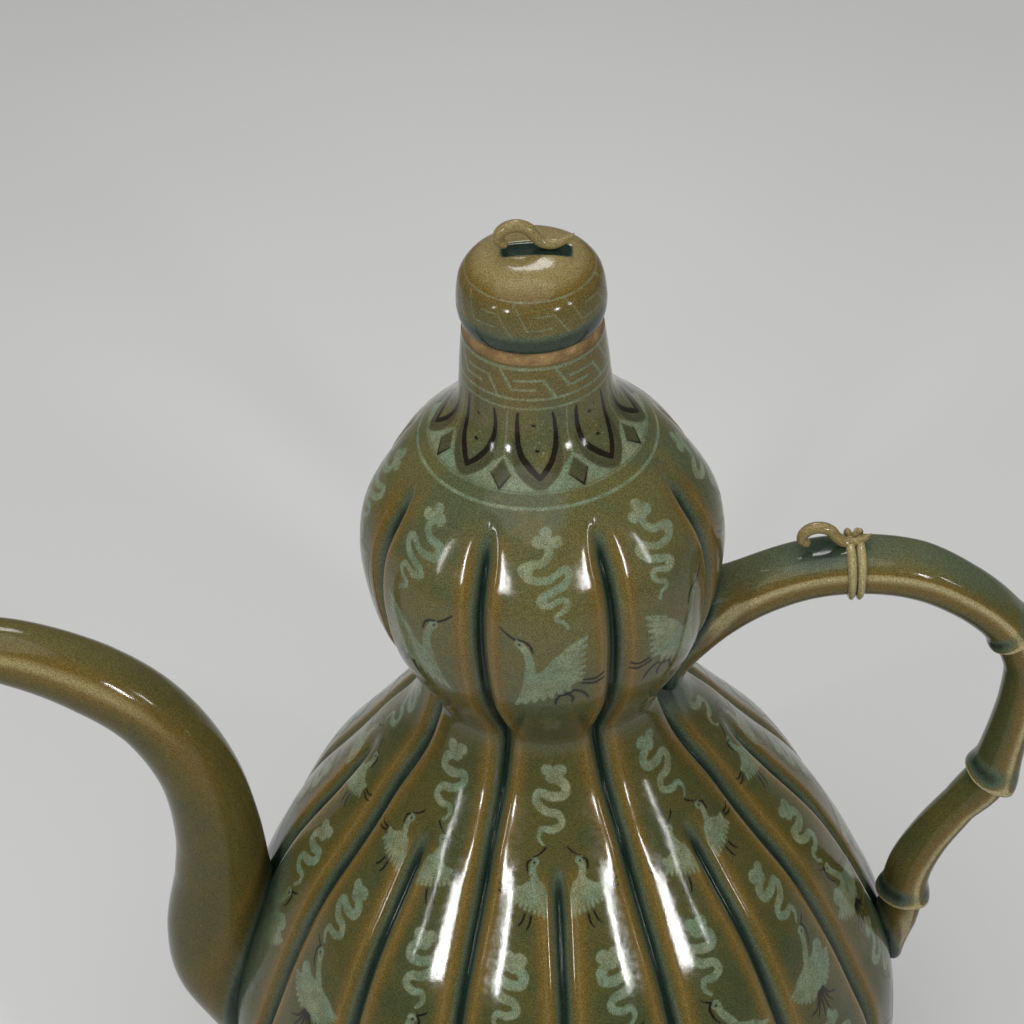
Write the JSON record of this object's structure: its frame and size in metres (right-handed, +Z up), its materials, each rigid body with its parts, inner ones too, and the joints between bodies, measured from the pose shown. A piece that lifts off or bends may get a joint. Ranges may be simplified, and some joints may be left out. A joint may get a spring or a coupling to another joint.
{
  "type": "ewer",
  "caption": "Gourd-shaped ewer of two grooved hollow bulbs, with an S-shaped spout, a bamboo-form handle with a cord loop, and a fitted domed lid.",
  "frame": {"origin": "below the middle of the overall box, in the plane that the foot ring stands on; the turning axis of the body is parallel to Z at x = 0.0166 m, y = 0", "axes": "+Z up, parallel to the turning axis, the spout reaches out along -X and the handle stands on the +X side, both in the plane Y = 0"},
  "size_m": [0.3002, 0.194, 0.3423],
  "materials": {
    "celadon_glaze": "glossy transparent olive-green celadon glaze over inlaid clay, finely crackled",
    "biscuit_clay": "bare fired clay, matt, warm buff to orange-brown"
  },
  "bodies": {
    "ewer": {"foot_ring": "biscuit_clay", "lower_bulb": "celadon_glaze", "upper_bulb": "celadon_glaze", "neck": "celadon_glaze", "spout": "celadon_glaze", "handle": "celadon_glaze", "handle_band_inner": "celadon_glaze", "handle_band_outer": "celadon_glaze", "handle_loop": "celadon_glaze", "handle_loop_knot": "celadon_glaze"},
    "lid": {"lid_dome": "celadon_glaze", "lid_flange": "biscuit_clay", "lid_loop": "celadon_glaze"}
  },
  "joints": [
    {"name": "lid_lift", "type": "slide", "parent": "ewer", "child": "lid", "axis": [0, 0, 1], "range_m": [0, 0.06]}
  ]
}
